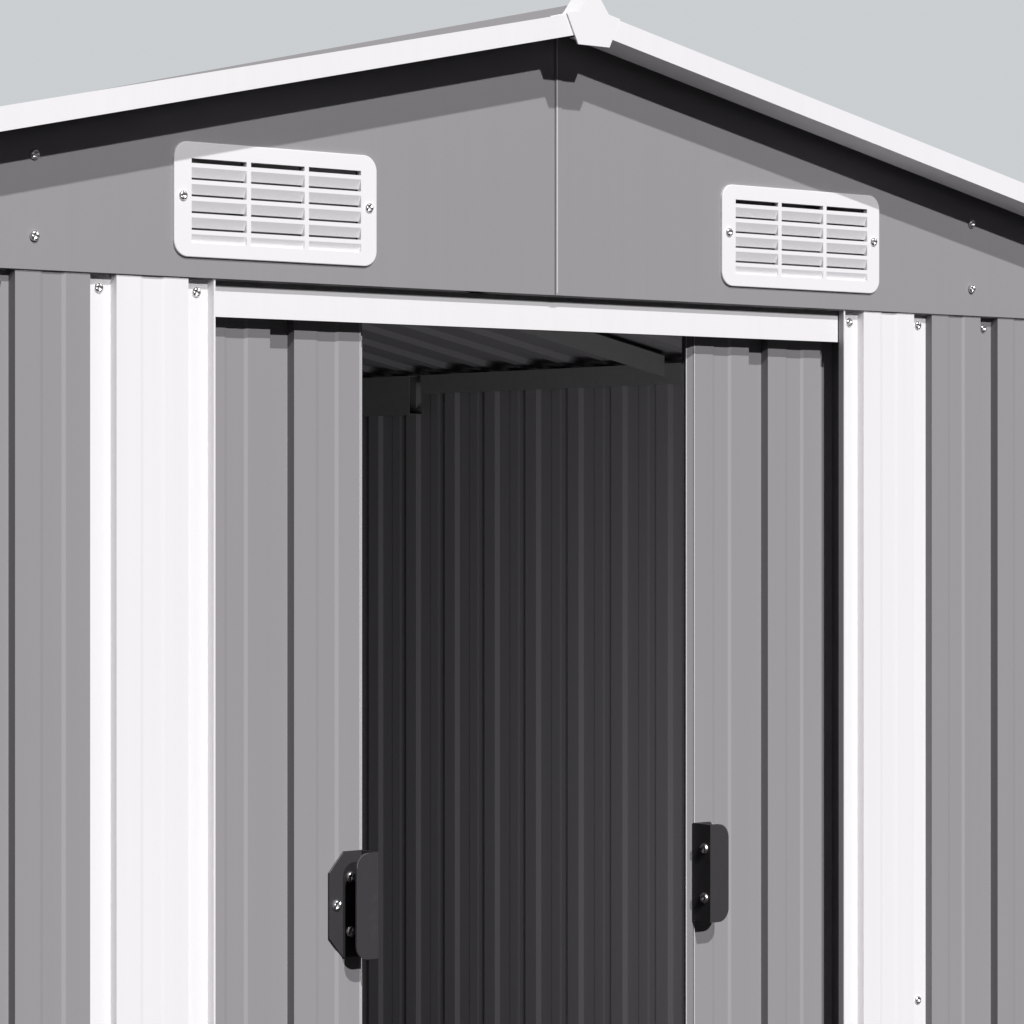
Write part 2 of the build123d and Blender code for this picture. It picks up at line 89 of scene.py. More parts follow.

# Where the painted highlight and painted shade of a ribbed sheet lie, as shares of a pitch
VALLEY_BEND = 0.5 + (VALLEY_HALF + VALLEY_STEP / 2) / RIB_PITCH
VALLEY_BEND_REACH = VALLEY_STEP / 2 / RIB_PITCH
GROOVE_SIDE = 0.5 - (GROOVE_HALF + GROOVE_STEP / 2) / RIB_PITCH
GROOVE_SIDE_MARGIN = 0.00003
GROOVE_SIDE_REACH = (GROOVE_STEP / 2 - GROOVE_SIDE_MARGIN) / RIB_PITCH

# Where the painted shade on the doorway panels' returns fades in: out from the opening, back from
# the front
RETURN_REACH = 0.0011
RETURN_REACH_END = 0.0012
RETURN_START = 0.0008
RETURN_FULL = 0.0014

# Painted light and shade on the coatings, as shares of the sheet's own colour: painted highlight on
# the valleys' bends, painted shade on the grooves' steep sides and on the doorway panels' returns,
# and the level of the painted highlight on the door folds
VALLEY_PAINTED_HIGHLIGHT = 0.17
GROOVE_PAINTED_SHADE = 0.38
RETURN_PAINTED_SHADE = 0.60
FOLD_HIGHLIGHT_LEVEL = 2.2

# Painted shade deep in the vents: how far it starts behind the gable's face, how soon it is full,
# how dark it is
LOUVRE_SINK = 0.002
LOUVRE_SHADE_DEPTH = 0.002
LOUVRE_PAINTED_SHADE = 0.12

# Grooves with screws in them, counted from the middle of each wall
FIRST_JAMB_GROOVE = 4
FIRST_WALL_GROOVE = 6
LAST_FRONT_GROOVE = 11
LAST_SIDE_GROOVE = 9

# Screw places on the walls and posts
SCREW_FOOT = 0.022
FRONT_SCREW_DROP = 0.012
SIDE_SCREW_DROP = 0.016
BACK_SCREW_DROP = 0.032
JAMB_SCREW_HEIGHT = 0.717
POST_SCREW_INSET = 0.019
POST_SCREW_HEIGHTS = (0.06, 0.40, 0.74, 1.08, 1.42)

# Screw places on the gables, and the thin white bead along their seam, a painted highlight
GABLE_SCREWS = ((0.604, 1.582), (0.604, 1.509), (1.02, 1.494), (1.11, 1.487))
VENT_SCREW_INSET = 0.0095
VENT_SCREW_LIFT = 0.003
SEAM_OFFSET = 0.0021
SEAM_FOOT_GAP = 0.002
SEAM_TOP_GAP = 0.006
SEAM_BEAD = 0.0004

# Screw places on the roof, as runs down from the ridge or in from the eave
RAFTER_SCREW_RUNS = (0.16, 0.40, 0.64, 0.88, 1.12)
RAFTER_SCREW_INSET = 0.013
RIDGE_SCREW_RUN = 0.092
RIDGE_CAP_RUN = 0.060
RIDGE_CAP_STEPS = 4
EAVE_SCREW_INSET = 0.052
EAVE_TRIM_INSET = 0.012
EAVE_TRIM_STEP = 0.28
EAVE_TRIM_STEPS = 3

# Bolts of the rafters: in from the ridge or the eave, and down from the roof sheet
RIDGE_BOLTS = (0.028, 0.060)
RIDGE_BOLT_DROP = 0.016
EAVE_BOLT = 0.030
EAVE_BOLT_DROP = 0.012

# Screws of the doors and their handles, and thin beads along their edges and folds that carry
# painted highlights
HANDLE_PLATE = 0.002
HANDLE_PLATE_SCREWS = ((0.0148, 0.0262), (0.0312, 0.0), (0.0148, -0.0268))
HANDLE_WEB_SCREWS = (0.026, -0.026)
HANDLE_WEB_DEPTH = 0.0165
HANDLE_SCREW_SCALE = 1.15
GRIP_OFFSET = 0.012
GRIP_CORNER = 0.014
GRIP_EDGE = 0.0135
GRIP_STEPS = 8
PLATE_EDGE = ((0.0235, -0.0005), (0.0395, -0.0196))
HANDLE_BEAD = 0.0005
EDGE_PROUD = 0.0003
FOLD_BEAD = 0.0006
FOLD_END = 0.002
SLIDER_INSET = 0.080
SLIDER_BOLT_RISE = 0.020
SLIDER_BOLT_SHIFT = 0.012
SLIDER_BOLT_SEAT = 0.0445

# Meshes
SHARP_ANGLE = radians(40.0)
LATHE_STEPS = 12
SORTING_SLANT = Vector((1.0, 0.62, 3.1))
BEAD_SIDES = 6
SCREW_SEED = 11


# Values that a user would change
class ShedFinishes(bpy.types.PropertyGroup):
    """Colours of the coatings and mouldings."""

    grey: FloatVectorProperty(
        name="Grey sheet",
        description="Coating of the wall, gable, roof and door sheets",
        subtype="COLOR",
        default=(0.349, 0.336, 0.352),
        min=0.0,
        max=1.0,
    )
    white: FloatVectorProperty(
        name="White trim",
        description="Coating of the trims, the door panels and the header",
        subtype="COLOR",
        default=(0.94, 0.92, 0.94),
        min=0.0,
        max=1.0,
    )
    frame_grey: FloatVectorProperty(
        name="Frame",
        description="Coating of the rails, rafters and tracks",
        subtype="COLOR",
        default=(0.31, 0.305, 0.312),
        min=0.0,
        max=1.0,
    )
    moulding: FloatVectorProperty(
        name="White moulding",
        description="Plastic of the vents and caps",
        subtype="COLOR",
        default=(0.96, 0.94, 0.96),
        min=0.0,
        max=1.0,
    )
    handle: FloatVectorProperty(
        name="Handle",
        description="Powder coat of the door handles",
        subtype="COLOR",
        default=(0.045, 0.042, 0.046),
        min=0.0,
        max=1.0,
    )
    slider: FloatVectorProperty(
        name="Slider",
        description="Plastic of the door sliders",
        subtype="COLOR",
        default=(0.03, 0.03, 0.032),
        min=0.0,
        max=1.0,
    )
    zinc: FloatVectorProperty(
        name="Zinc",
        description="Plating of the screws",
        subtype="COLOR",
        default=(0.80, 0.795, 0.79),
        min=0.0,
        max=1.0,
    )


class ShedFixings(bpy.types.PropertyGroup):
    """Sizes of the screws and washers."""

    head: FloatProperty(
        name="Screw head",
        description="Diameter of a pan head",
        unit="LENGTH",
        default=0.0096,
        min=0.004,
        max=0.02,
    )
    rise: FloatProperty(
        name="Head height",
        description="Height of a pan head over its washer",
        unit="LENGTH",
        default=0.0028,
        min=0.001,
        max=0.01,
    )
    washer: FloatProperty(
        name="Washer",
        description="Diameter of the roof screws' rubber washers",
        unit="LENGTH",
        default=0.0135,
        min=0.006,
        max=0.03,
    )


class ShedStage(bpy.types.PropertyGroup):
    """Light, backdrop and floor."""

    high_sun: FloatProperty(
        name="High light",
        description="Strength of the higher of the two front lights",
        default=2.03,
        min=0.0,
        max=10.0,
    )
    low_sun: FloatProperty(
        name="Low light",
        description="Strength of the lower of the two front lights",
        default=1.67,
        min=0.0,
        max=10.0,
    )
    rear_fill: FloatProperty(
        name="Rear light",
        description="Strength of the lights on the sides and the back",
        default=2.6,
        min=0.0,
        max=10.0,
    )
    sky: FloatProperty(
        name="Sky",
        description="Strength of the even light from all round",
        default=0.009,
        min=0.0,
        max=2.0,
    )
    inside_fill: FloatProperty(
        name="Inside light",
        description="Strength of the daylight inside the shed",
        default=3.9,
        min=0.0,
        max=50.0,
    )
    backdrop: FloatVectorProperty(
        name="Backdrop",
        description="Colour that the camera sees behind the shed",
        subtype="COLOR",
        default=(0.6, 0.62, 0.64),
        min=0.0,
        max=1.0,
    )
    floor: FloatVectorProperty(
        name="Floor",
        description="Colour of the floor",
        subtype="COLOR",
        default=(0.62, 0.62, 0.61),
        min=0.0,
        max=1.0,
    )


# Shader wiring
class Wire:
    """A socket in a shader tree. Arithmetic on it adds Math nodes."""

    def __init__(self, tree, socket=None):
        self.tree = tree
        self.socket = socket

    def node(self, kind, settings=None, sockets=None, output=0):
        """Adds a node: its settings first, then the values or links of its sockets."""
        made = self.tree.nodes.new(kind)
        for name, value in (settings or {}).items():
            setattr(made, name, value)
        for name, value in (sockets or {}).items():
            if isinstance(value, Wire):
                self.tree.links.new(value.socket, made.inputs[name])
            else:
                made.inputs[name].default_value = value
        return Wire(self.tree, made.outputs[output] if made.outputs else None)

    def _maths(self, operation, first, second):
        return self.node("ShaderNodeMath", {"operation": operation}, {0: first, 1: second})

    def __add__(self, other):
        return self._maths("ADD", self, other)

    __radd__ = __add__

    def __sub__(self, other):
        return self._maths("SUBTRACT", self, other)

    def __rsub__(self, other):
        return self._maths("SUBTRACT", other, self)

    def __mul__(self, other):
        return self._maths("MULTIPLY", self, other)

    __rmul__ = __mul__


class Finish:
    """One material while it is being wired."""

    def __init__(self, name):
        self.material = bpy.data.materials.new(name)
        self.material.use_nodes = True
        tree = self.material.node_tree
        tree.nodes.clear()
        self.wire = Wire(tree)
        self.place = self.wire.node("ShaderNodeTexCoord", output=3)

    def stretched(self, x, y, z):
        """Object coordinates, scaled along each axis."""
        return self.wire.node("ShaderNodeMapping", None, {"Vector": self.place, "Scale": (x, y, z)})

    def noise(self, scale, detail=2.0, roughness=0.5, vector=None):
        """Even noise from 0 to 1 about 0.5."""
        sockets = {"Scale": scale, "Detail": detail, "Roughness": roughness}
        sockets["Vector"] = vector or self.place
        return self.wire.node("ShaderNodeTexNoise", None, sockets)

    def axis(self, number):
        """Place along X, Y or Z."""
        return self.wire.node("ShaderNodeSeparateXYZ", None, {"Vector": self.place}, number)

    def near(self, value, middle, reach):
        """1 where a value lies within reach of a middle, 0 elsewhere."""
        sockets = {0: value, 1: middle, 2: reach}
        return self.wire.node("ShaderNodeMath", {"operation": "COMPARE"}, sockets)

    def painted_rib_highlight_and_shade(self, first_groove):
        """Painted highlight on one bend of each shallow valley, painted shade on the grooves' steep
        sides.
        """
        pitches = (self.axis(0) - first_groove) * (1 / RIB_PITCH)
        share = self.wire.node("ShaderNodeMath", {"operation": "FRACT"}, {0: pitches})
        apart = self.wire.node("ShaderNodeMath", {"operation": "ABSOLUTE"}, {0: share - 0.5})
        pale = VALLEY_PAINTED_HIGHLIGHT * self.near(share, VALLEY_BEND, VALLEY_BEND_REACH)
        return 1.0 + pale - GROOVE_PAINTED_SHADE * self.near(apart, GROOVE_SIDE, GROOVE_SIDE_REACH)

    def painted_return_shade(self):
        """Painted shade on the doorway panels' returns, behind their front faces."""
        across = self.axis(0)
        full, none = DOORWAY_HALF + RETURN_REACH, DOORWAY_HALF + RETURN_REACH_END
        inner = self.between(across * across, none**2, full**2)
        deep = self.between(self.axis(1), FRONT + RETURN_START, FRONT + RETURN_FULL)
        return 1.0 - RETURN_PAINTED_SHADE * inner * deep

    def between(self, value, low, high, start=0.0, end=1.0):
        """A value brought from one range to another, and held there."""
        sockets = {"Value": value, "From Min": low, "From Max": high}
        sockets.update({"To Min": start, "To Max": end})
        return self.wire.node("ShaderNodeMapRange", {"clamp": True}, sockets)

    def mix(self, share, first, second):
        """One colour into another."""
        sockets = {0: share, 6: first, 7: second}
        return self.wire.node("ShaderNodeMix", {"data_type": "RGBA"}, sockets, 2)

    def brightened(self, colour, level):
        """A colour times a level."""
        grey = self.wire.node("ShaderNodeCombineXYZ", None, {"X": level, "Y": level, "Z": level})
        settings = {"operation": "MULTIPLY"}
        return self.wire.node("ShaderNodeVectorMath", settings, {0: tuple(colour), 1: grey})

    def bump(self, height, distance, strength):
        """Surface relief, in metres."""
        sockets = {"Height": height, "Distance": distance, "Strength": strength}
        return self.wire.node("ShaderNodeBump", None, sockets)

    def shade(self, **sockets):
        """Joins the shader to the output."""
        named = {name.replace("_", " "): value for name, value in sockets.items()}
        shader = self.wire.node("ShaderNodeBsdfPrincipled", None, named)
        self.wire.node("ShaderNodeOutputMaterial", None, {"Surface": shader})
        return self.material


# Finishes
DUST = (0.43, 0.40, 0.36, 1.0)


def coated_steel(name, colour, dust_share, sheen, first_groove=None, returns=False):
    """Rolled and coated sheet: faint roll streaks, fine orange peel and a little dust low down."""
    made = Finish(name)
    broad = made.noise(1.7, 3.0)
    streak = made.noise(1.0, 2.0, 0.6, made.stretched(95.0, 95.0, 0.9))
    grain = made.noise(420.0, 2.0, 0.6)
    level = 0.955 + 0.05 * broad + 0.04 * streak
    # Painted highlight on the valleys' bends and painted shade on the grooves' steep sides
    if first_groove is not None:
        level = level * made.painted_rib_highlight_and_shade(first_groove)
    # Painted shade on the doorway panels' returns
    if returns:
        level = level * made.painted_return_shade()
    base = made.brightened(colour, level)
    near_ground = made.between(made.axis(2), 0.30, 0.0)
    patches = made.between(made.noise(9.0, 5.0, 0.65), 0.42, 0.72)
    dusty = made.mix(near_ground * patches * dust_share, base, DUST)
    roughness = sheen + 0.10 * broad + 0.10 * streak + 0.08 * grain
    peel = made.bump(grain, 0.00012, 0.5)
    return made.shade(Base_Color=dusty, Roughness=roughness, Normal=peel, Specular_IOR_Level=0.12)


def galvanised_frame(name, colour):
    """Coated frame steel, with a faint spangle and scuffs."""
    made = Finish(name)
    sockets = {"Vector": made.place, "Scale": 85.0}
    spangle = made.wire.node("ShaderNodeTexVoronoi", {"feature": "F1"}, sockets)
    scuff = made.noise(14.0, 6.0, 0.7)
    level = 0.93 + 0.10 * spangle + 0.06 * scuff
    base = made.brightened(colour, level)
    roughness = 0.36 + 0.18 * scuff + 0.10 * spangle
    relief = made.bump(spangle, 0.00008, 0.4)
    return made.shade(Base_Color=base, Roughness=roughness, Normal=relief, Specular_IOR_Level=0.15)


def moulded_plastic(name, colour, roughness_low, grain_scale, louvre_face=None):
    """Moulded plastic with a fine spark-eroded grain, and painted shade deep in the louvres."""
    made = Finish(name)
    grain = made.noise(grain_scale, 3.0, 0.6)
    broad = made.noise(6.0, 2.0)
    level = 0.97 + 0.03 * broad + 0.02 * grain
    # Painted shade deep in the louvres
    if louvre_face:
        depth = made.axis(1)
        shade_start = louvre_face - LOUVRE_SHADE_DEPTH
        level = level * made.between(depth * depth, shade_start**2, louvre_face**2, LOUVRE_PAINTED_SHADE, 1.0)
    base = made.brightened(colour, level)
    roughness = roughness_low + 0.14 * grain + 0.05 * broad
    relief = made.bump(grain, 0.00006, 0.5)
    return made.shade(Base_Color=base, Roughness=roughness, Normal=relief, Specular_IOR_Level=0.3)


def powder_coat(name, colour):
    """Black powder coat on the handles, with a coarse peel and rubbed patches."""
    made = Finish(name)
    peel = made.noise(1500.0, 2.0, 0.5)
    rubbed = made.between(made.noise(60.0, 4.0, 0.6), 0.45, 0.75)
    base = made.brightened(colour, 0.85 + 0.2 * peel + 0.5 * rubbed * rubbed)
    roughness = 0.46 - 0.14 * rubbed + 0.1 * peel
    relief = made.bump(peel, 0.0001, 0.6)
    return made.shade(Base_Color=base, Roughness=roughness, Normal=relief)


def plated_zinc(name, colour):
    """Bright zinc plating with a cloudy patina."""
    made = Finish(name)
    cloud = made.noise(700.0, 4.0, 0.6)
    base = made.brightened(colour, 0.75 + 0.5 * cloud)
    relief = made.bump(cloud, 0.00005, 0.5)
    return made.shade(Base_Color=base, Roughness=0.20 + 0.25 * cloud, Normal=relief, Metallic=1.0)


def soft_rubber(name):
    """Black rubber of the sealing washers."""
    made = Finish(name)
    grain = made.noise(900.0, 3.0, 0.6)
    base = made.brightened((0.022, 0.022, 0.023), 0.8 + 0.4 * grain)
    relief = made.bump(grain, 0.00008, 0.6)
    return made.shade(Base_Color=base, Roughness=0.6 + 0.2 * grain, Normal=relief)


coats = {}


def finishes():
    """The materials by slot, and those of single nodes by node, made once."""
    if not coats:
        tints = bpy.context.scene.shed_finishes
        grey = {"colour": tints.grey, "dust_share": 0.45, "sheen": 0.42}
        white = {"colour": tints.white, "dust_share": 0.35, "sheen": 0.36}
        # A lighter grey for the beads on the door folds: a painted highlight
        pale = {**grey, "colour": tuple(FOLD_HIGHLIGHT_LEVEL * share for share in tints.grey)}
        coats["grey_steel"] = coated_steel("coated_grey_steel", **grey)
        coats["white_steel"] = coated_steel("coated_white_steel", **white)
        coats["folds"] = coated_steel("painted_fold_highlight", **pale)
        # The front and door sheets get painted highlight and painted shade on their ribs, the jamb
        # sheets painted shade on their returns
        front = coated_steel("coated_front_sheet", **grey, first_groove=0.0)
        jambs = coated_steel("coated_jamb_sheet", **white, returns=True)
        for side in ("left", "right"):
            coats[f"front_wall_{side}"] = front
            coats[f"door_jamb_{side}"] = jambs
        for name, side in (("left_door", -1), ("right_door", 1)):
            low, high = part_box(f"{name}_sheet")
            groove = side * (min(abs(low.x), abs(high.x)) + DOOR_FIRST_GROOVE)
            sheet = f"{name}_sheet"
            coats[sheet] = coated_steel(f"coated_{sheet}", **grey, first_groove=groove)
        coats["frame_steel"] = galvanised_frame("coated_frame_steel", tints.frame_grey)
        coats["white_plastic"] = moulded_plastic(
            "moulded_white",
            tints.moulding,
            roughness_low=0.38,
            grain_scale=650.0,
            louvre_face=-FRONT + 2 * STEEL - LOUVRE_SINK,
        )
        coats["slider_plastic"] = moulded_plastic(
            "moulded_black",
            tints.slider,
            roughness_low=0.50,
            grain_scale=500.0,
        )
        coats["handle_steel"] = powder_coat("powder_coated_black", tints.handle)
        coats["zinc"] = plated_zinc("plated_zinc", tints.zinc)
        coats["rubber"] = soft_rubber("washer_rubber")
    return coats


# Mesh helpers
def lathed(profile):
    """A closed turned form about Z: the profile's points are (radius, height) from top to foot.

    Spin and merge leave the faces in an order that changes from run to run, so they are sorted.
    """
    form = bmesh.new()
    points = [form.verts.new((radius, 0.0, height)) for radius, height in profile]
    edges = [form.edges.new(pair) for pair in zip(points, points[1:])]
    bmesh.ops.spin(
        form,
        geom=points + edges,
        cent=(0, 0, 0),
        axis=(0, 0, 1),
        angle=tau,
        steps=LATHE_STEPS,
        use_merge=True,
    )
    bmesh.ops.remove_doubles(form, verts=form.verts, dist=1e-6)
    bmesh.ops.recalc_face_normals(form, faces=form.faces)
    form.verts.sort(key=lambda vert: vert.co.dot(SORTING_SLANT))
    form.faces.sort(key=lambda face: face.calc_center_median().dot(SORTING_SLANT))
    return form


def as_mesh(form, name):
    """Turns a bmesh into a mesh."""
    mesh = bpy.data.meshes.new(name)
    form.to_mesh(mesh)
    form.free()
    return mesh


def piece(name, mesh, materials, body):
    """Places a finished piece at the origin, riding on a body."""
    thing = bpy.data.objects.new(name, mesh)
    bpy.context.scene.collection.objects.link(thing)
    for material in materials:
        mesh.materials.append(material)
    mesh.shade_smooth()
    mesh.set_sharp_from_angle(angle=SHARP_ANGLE)
    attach(thing, body)


def facing(place, normal, turn):
    """Matrix that stands a form on a place, with its Z along the normal."""
    tilt = Vector(normal).to_track_quat("Z", "Y").to_matrix().to_4x4()
    return Matrix.Translation(place) @ tilt @ Matrix.Rotation(turn, 4, "Z")


def pan_head(washer=False, scale=1.0):
    """A pan head with a cross recess, on a flange or on a rubber washer."""
    sizes = bpy.context.scene.shed_fixings
    radius, rise = sizes.head * scale / 2, sizes.rise * scale
    recess = radius * 0.46
    seat = 0.0012 if washer else 0.0
    sunk = seat - 0.0004
    profile = [
        (0.0, seat + rise * 0.98),
        (recess, seat + rise),
        (radius * 0.78, seat + rise * 0.82),
        (radius, seat + rise * 0.34),
        (radius, sunk),
        (0.0, sunk),
    ]
    form = lathed(profile)
    ring = [v for v in form.verts if abs(v.co.xy.length - recess) < 1e-5]
    slots = [v for v in ring if min(abs(v.co.x), abs(v.co.y)) < 1e-5]
    centre = [v for v in form.verts if v.co.xy.length < 1e-6 and v.co.z > seat + rise * 0.5]
    bmesh.ops.translate(form, verts=slots, vec=(0, 0, -rise * 0.42))
    bmesh.ops.translate(form, verts=centre, vec=(0, 0, -rise * 0.62))
    if washer:
        before = len(form.faces)
        wide = sizes.washer / 2
        top, shoulder, foot = 0.0014, 0.0008, -0.0002
        rim = [(0, top), (wide * 0.9, top), (wide, shoulder), (wide, foot), (0, foot)]
        disc = as_mesh(lathed(rim), "disc")
        form.from_mesh(disc)
        bpy.data.meshes.remove(disc)
        form.faces.ensure_lookup_table()
        for face in form.faces[before:]:
            face.material_index = 1
    return as_mesh(form, "pan_head")


def hex_head():
    """A hexagon head with a chamfered crown on a round flange."""
    form = bmesh.new()
    radius, height, middle = 0.0052, 0.0040, 0.0028
    bmesh.ops.create_cone(
        form,
        cap_ends=True,
        segments=6,
        radius1=radius,
        radius2=radius,
        depth=height,
        matrix=Matrix.Translation((0, 0, middle)),
    )
    crown = [face for face in form.faces if face.normal.z > 0.9]
    bmesh.ops.inset_region(form, faces=crown, thickness=0.0007, depth=0.0005)
    foot_radius, top_radius, thickness, flange_middle = 0.0066, 0.0062, 0.0014, 0.0005
    bmesh.ops.create_cone(
        form,
        cap_ends=True,
        segments=12,
        radius1=foot_radius,
        radius2=top_radius,
        depth=thickness,
        matrix=Matrix.Translation((0, 0, flange_middle)),
    )
    return as_mesh(form, "hex_head")


def screws(name, places, body, washer=False, head=None):
    """Fixings at (place, normal) pairs, each turned as it happened to be driven."""
    turns = random.Random(SCREW_SEED + len(name) + len(places))
    head = head or pan_head(washer)
    form = bmesh.new()
    for place, normal in places:
        done = len(form.verts)
        form.from_mesh(head)
        form.verts.ensure_lookup_table()
        matrix = facing(place, normal, turns.uniform(0, tau))
        bmesh.ops.transform(form, matrix=matrix, verts=form.verts[done:])
    bpy.data.meshes.remove(head)
    materials = [finishes()["zinc"]] + ([finishes()["rubber"]] if washer else [])
    piece(name, as_mesh(form, name), materials, body)


def bead(form, points, radius):
    """Adds a round bead along a line of points to a bmesh."""
    rings = []
    for i, point in enumerate(points):
        ahead, behind = points[min(i + 1, len(points) - 1)], points[max(i - 1, 0)]
        turn = (Vector(ahead) - Vector(behind)).to_track_quat("Z", "X").to_matrix()
        angles = [tau * k / BEAD_SIDES for k in range(BEAD_SIDES)]
        spokes = [turn @ Vector((cos(a), sin(a), 0)) * radius for a in angles]
        rings.append([form.verts.new(Vector(point) + spoke) for spoke in spokes])
    for low, high in zip(rings, rings[1:]):
        for k in range(BEAD_SIDES):
            after = (k + 1) % BEAD_SIDES
            form.faces.new((low[k], low[after], high[after], high[k]))
    form.faces.new(rings[0][::-1])
    form.faces.new(rings[-1])


def on_slope(side, run, lift, y):
    """Place on a roof slope: a run down from the ridge and a lift off the soffit plane."""
    x = side * (run * cos(PITCH) + lift * sin(PITCH))
    return (x, y, APEX - run * sin(PITCH) + lift * cos(PITCH)), (side * sin(PITCH), 0, cos(PITCH))


# Operators
class SHED_OT_coat_parts(bpy.types.Operator):
    """Give every part of the frame its coating."""

    bl_idname = "shed.coat_parts"
    bl_label = "Coat parts"

    def execute(self, context):
        finish = finishes()
        slots = {row["node"]: row["material_slot"] for row in frame["record"]["subparts"]}
        for name, node in frame["nodes"].items():
            node.data.materials.clear()
            node.data.materials.append(finish.get(name) or finish[slots[name]])
        return {"FINISHED"}


class SHED_OT_fix_walls(bpy.types.Operator):
    """Screw the wall sheets, the door panels and the corner posts to the frame."""

    bl_idname = "shed.fix_walls"
    bl_label = "Fix walls"

    def execute(self, context):
        self.screw_front()
        self.screw_sides_and_back()
        self.screw_posts()
        return {"FINISHED"}

    def screw_front(self):
        out = (0, -1, 0)
        jamb = FRONT + JAMB_DEPTH
        places = []
        for side in (-1, 1):
            for groove in range(FIRST_JAMB_GROOVE, LAST_FRONT_GROOVE + 1):
                x = side * groove * RIB_PITCH
                seat = jamb if groove < FIRST_WALL_GROOVE else FRONT + RIB_DEPTH
                for z in (WALL_TOP - FRONT_SCREW_DROP, SCREW_FOOT):
                    places.append(((x, seat, z), out))
            x = side * (FIRST_WALL_GROOVE - 1) * RIB_PITCH
            places.append(((x, jamb, JAMB_SCREW_HEIGHT), out))
        screws("front_wall_screws", places, "shed")

    def screw_sides_and_back(self):
        places = []
        for side in (-1, 1):
            x = side * (RIGHT - RIB_DEPTH)
            for groove in range(-LAST_SIDE_GROOVE, LAST_SIDE_GROOVE + 1):
                for z in (WALL_TOP - SIDE_SCREW_DROP, SCREW_FOOT):
                    places.append(((x, groove * RIB_PITCH, z), (side, 0, 0)))
        screws("side_wall_screws", places, "shed")
        places = []
        for groove in range(-LAST_FRONT_GROOVE, LAST_FRONT_GROOVE + 1):
            for z in (WALL_TOP - BACK_SCREW_DROP, SCREW_FOOT):
                places.append(((groove * RIB_PITCH, BACK - RIB_DEPTH, z), (0, 1, 0)))
        screws("back_wall_screws", places, "shed")

    def screw_posts(self):
        low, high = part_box("corner_posts")
        across, along = high.x - POST_SCREW_INSET, high.y - POST_SCREW_INSET
        places = []
        for side in (-1, 1):
            for end, face in ((-1, low.y), (1, high.y)):
                for z in POST_SCREW_HEIGHTS:
                    places.append(((side * across, face, z), (0, end, 0)))
                    places.append(((side * high.x, end * along, z), (side, 0, 0)))
        screws("corner_post_screws", places, "shed")


class SHED_OT_fix_gables(bpy.types.Operator):
    """Screw the gable sheets and their vents on, and lay a thin white bead along the sheets' seams
    as a painted highlight.
    """

    bl_idname = "shed.fix_gables"
    bl_label = "Fix gables"

    def execute(self, context):
        vent_low, vent_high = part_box("front_vent_right")
        middle = (vent_low + vent_high) / 2
        reach = (vent_high.x - vent_low.x) / 2 - VENT_SCREW_INSET
        faces = (
            (-1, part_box("front_gable_right")[0].y, vent_low.y),
            (1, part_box("back_gable_right")[1].y, -vent_low.y),
        )
        places = []
        for end, gable, vent in faces:
            out = (0, end, 0)
            for side in (-1, 1):
                for x, z in GABLE_SCREWS:
                    places.append(((side * x, gable, z), out))
                for shift in (-reach, reach):
                    x = side * middle.x + shift
                    places.append(((x, vent, middle.z + VENT_SCREW_LIFT), out))
        screws("gable_screws", places, "shed")
        self.paint_seam_highlight()
        return {"FINISHED"}

    def paint_seam_highlight(self):
        low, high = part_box("front_gable_right")
        ends = (low.z + SEAM_FOOT_GAP, high.z - SEAM_TOP_GAP)
        # A thin white bead beside each seam: a painted highlight
        form = bmesh.new()
        for end in (-1, 1):
            line = [(-end * SEAM_OFFSET, end * (BACK + 3 * STEEL), z) for z in ends]
            bead(form, line, SEAM_BEAD)
        mesh = as_mesh(form, "gable_seam_highlight_bead")
        piece("gable_seam_highlight_bead", mesh, [finishes()["white_steel"]], "shed")


class SHED_OT_fix_roof(bpy.types.Operator):
    """Screw the roof sheets, the ridge cap and the trims down."""

    bl_idname = "shed.fix_roof"
    bl_label = "Fix roof"

    def execute(self, context):
        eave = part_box("eave_trims")[1].x / cos(PITCH)
        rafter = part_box("middle_rafters")[1].y - RAFTER_SCREW_INSET
        places = []
        for side in (-1, 1):
            for y in (-rafter, rafter):
                for run in RAFTER_SCREW_RUNS:
                    places.append(on_slope(side, run, ROOF_TOP, y))
            for groove in range(-LAST_SIDE_GROOVE, LAST_SIDE_GROOVE + 1):
                y = groove * RIB_PITCH
                places.append(on_slope(side, eave - EAVE_SCREW_INSET, ROOF_PAN, y))
                places.append(on_slope(side, RIDGE_SCREW_RUN, ROOF_PAN, y))
        screws("roof_screws", places, "shed", washer=True)
        places = []
        for side in (-1, 1):
            for step in range(-RIDGE_CAP_STEPS, RIDGE_CAP_STEPS + 1):
                y = step * 2 * RIB_PITCH + RIB_PITCH / 4
                places.append(on_slope(side, RIDGE_CAP_RUN, ROOF_TOP + STEEL, y))
            for step in range(-EAVE_TRIM_STEPS, EAVE_TRIM_STEPS + 1):
                y = step * EAVE_TRIM_STEP
                places.append(on_slope(side, eave - EAVE_TRIM_INSET, TRIM_TOP, y))
        screws("trim_screws", places, "shed")
        return {"FINISHED"}


class SHED_OT_fix_frame(bpy.types.Operator):
    """Bolt the rafters to the ridge beam and the rails, with the heads inside their channels."""

    bl_idname = "shed.fix_frame"
    bl_label = "Fix frame"

    def execute(self, context):
        seat = (ROOF_PAN - SHEET) / cos(PITCH)
        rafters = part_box("middle_rafters")[1]
        face = rafters.y - RAFTER_FLANGE + STEEL
        bolts = [(x, RIDGE_BOLT_DROP) for x in RIDGE_BOLTS]
        bolts.append((rafters.x - EAVE_BOLT, EAVE_BOLT_DROP))
        places = []
        for end in (-1, 1):
            for side in (-1, 1):
                for x, drop in bolts:
                    z = APEX - RIDGE_RISE / RIGHT * x + seat - drop
                    places.append(((side * x, end * face, z), (0, end, 0)))
        screws("rafter_bolts", places, "shed", head=hex_head())
        return {"FINISHED"}


